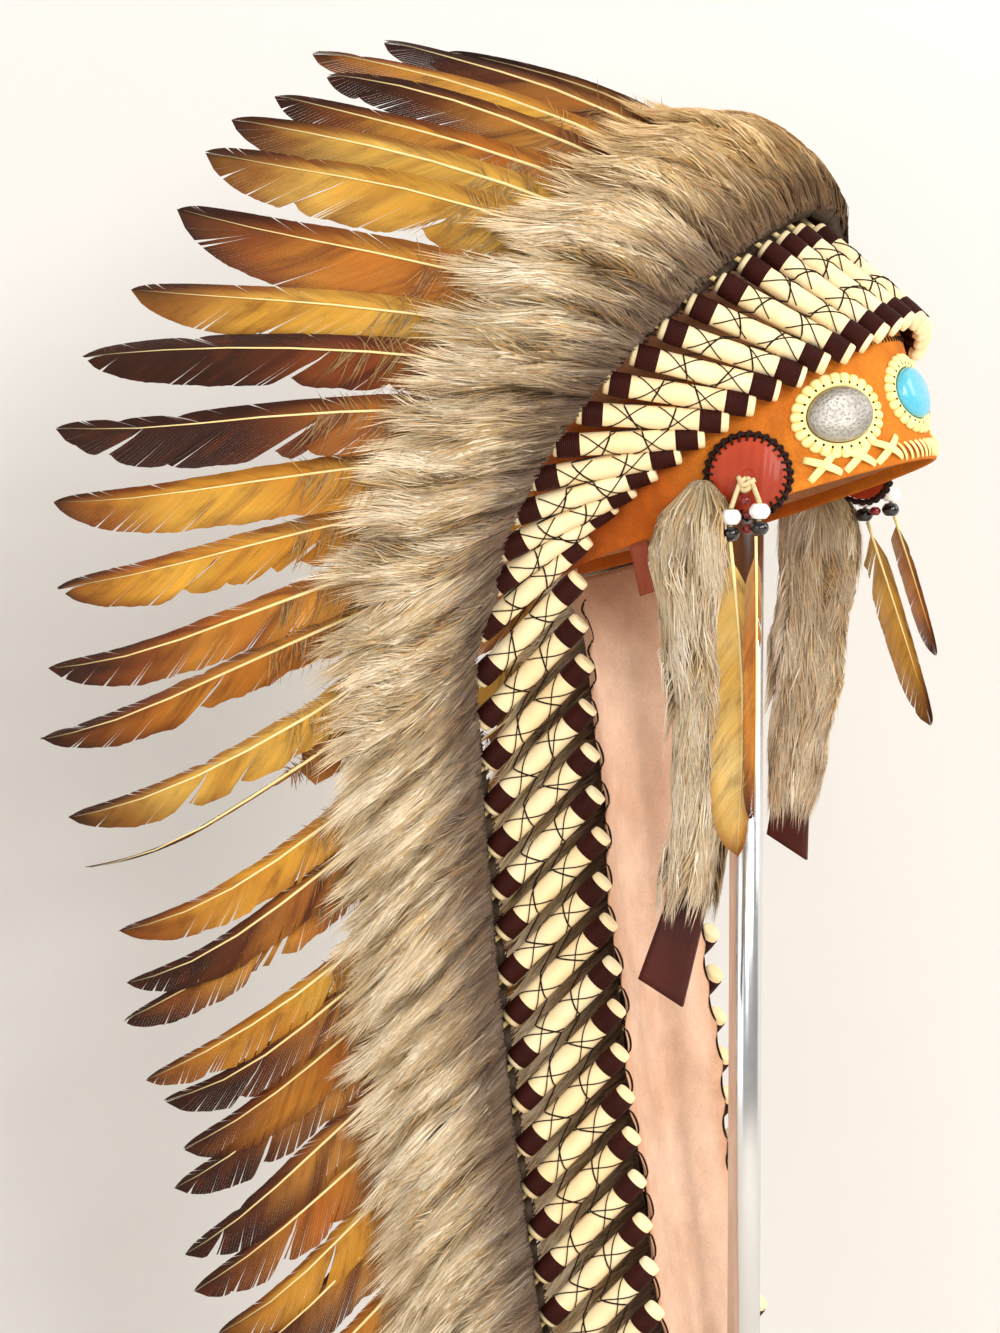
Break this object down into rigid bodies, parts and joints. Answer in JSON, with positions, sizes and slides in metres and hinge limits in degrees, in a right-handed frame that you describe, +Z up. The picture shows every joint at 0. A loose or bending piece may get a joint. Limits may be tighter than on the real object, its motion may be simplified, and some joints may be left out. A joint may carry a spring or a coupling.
{
  "type": "feathered headdress on a display stand",
  "caption": "Long feathered headdress with an orange suede brow band, wrapped quill rods, rabbit fur and a suede trailer, worn on a plain steel tube stand",
  "frame": {"origin": "middle of the stand's base plate on the floor, under the tube's axis", "axes": "+Z up along the stand's tube; -Y is the way the wearer faces; +X is the wearer's left"},
  "size_m": [0.406, 0.4649, 0.9221],
  "materials": {
    "steel_tube": "satin",
    "stand_plate": "satin",
    "band_suede": "matte",
    "cap_suede": "matte",
    "trailer_suede": "matte",
    "wrapped_rod": "satin",
    "feather": "satin",
    "fur": "matte",
    "turquoise": "polished",
    "hammered_silver": "satin",
    "whip_stitch": "matte",
    "rosette_leather": "gloss",
    "dark_binding": "satin",
    "lace": "matte",
    "white_bead": "gloss",
    "black_bead": "gloss",
    "red_bead": "gloss",
    "dark_leather": "satin",
    "strap_leather": "satin"
  },
  "bodies": {
    "root": {"bead_black_front_left": "black_bead", "bead_black_front_right": "black_bead", "bead_black_rear_left": "black_bead", "bead_black_rear_right": "black_bead", "bead_red_front_left": "red_bead", "bead_red_front_right": "red_bead", "bead_red_middle_left": "red_bead", "bead_red_middle_right": "red_bead", "bead_red_rear_left": "red_bead", "bead_red_rear_right": "red_bead", "bead_white_front_left": "white_bead", "bead_white_front_right": "white_bead", "bead_white_rear_left": "white_bead", "bead_white_rear_right": "white_bead", "brow_band": "band_suede", "crown_cap": "cap_suede", "drop_feather_front_left": "feather", "drop_feather_front_right": "feather", "drop_feather_rear_left": "feather", "drop_feather_rear_right": "feather", "feather_row_left": "feather", "feather_row_right": "feather", "fur_drop_end_left": "dark_leather", "fur_drop_end_right": "dark_leather", "fur_drop_left": "fur", "fur_drop_right": "fur", "fur_inner_left": "fur", "fur_inner_right": "fur", "fur_outer_left": "fur", "fur_outer_right": "fur", "lace_left": "lace", "lace_right": "lace", "quill_rods_crown_left": "wrapped_rod", "quill_rods_crown_right": "wrapped_rod", "quill_rods_trailer_left": "wrapped_rod", "quill_rods_trailer_right": "wrapped_rod", "rosette_left": "rosette_leather", "rosette_right": "rosette_leather", "rosette_rim_left": "dark_binding", "rosette_rim_right": "dark_binding", "silver_stone_left": "hammered_silver", "silver_stone_right": "hammered_silver", "stand_base": "stand_plate", "stand_head_rest": "stand_plate", "stand_pole": "steel_tube", "stone_surround_front": "whip_stitch", "stone_surround_left": "whip_stitch", "stone_surround_right": "whip_stitch", "tie_strap_right": "strap_leather", "trailer_panel": "trailer_suede", "turquoise_stone": "turquoise"}
  },
  "joints": []
}
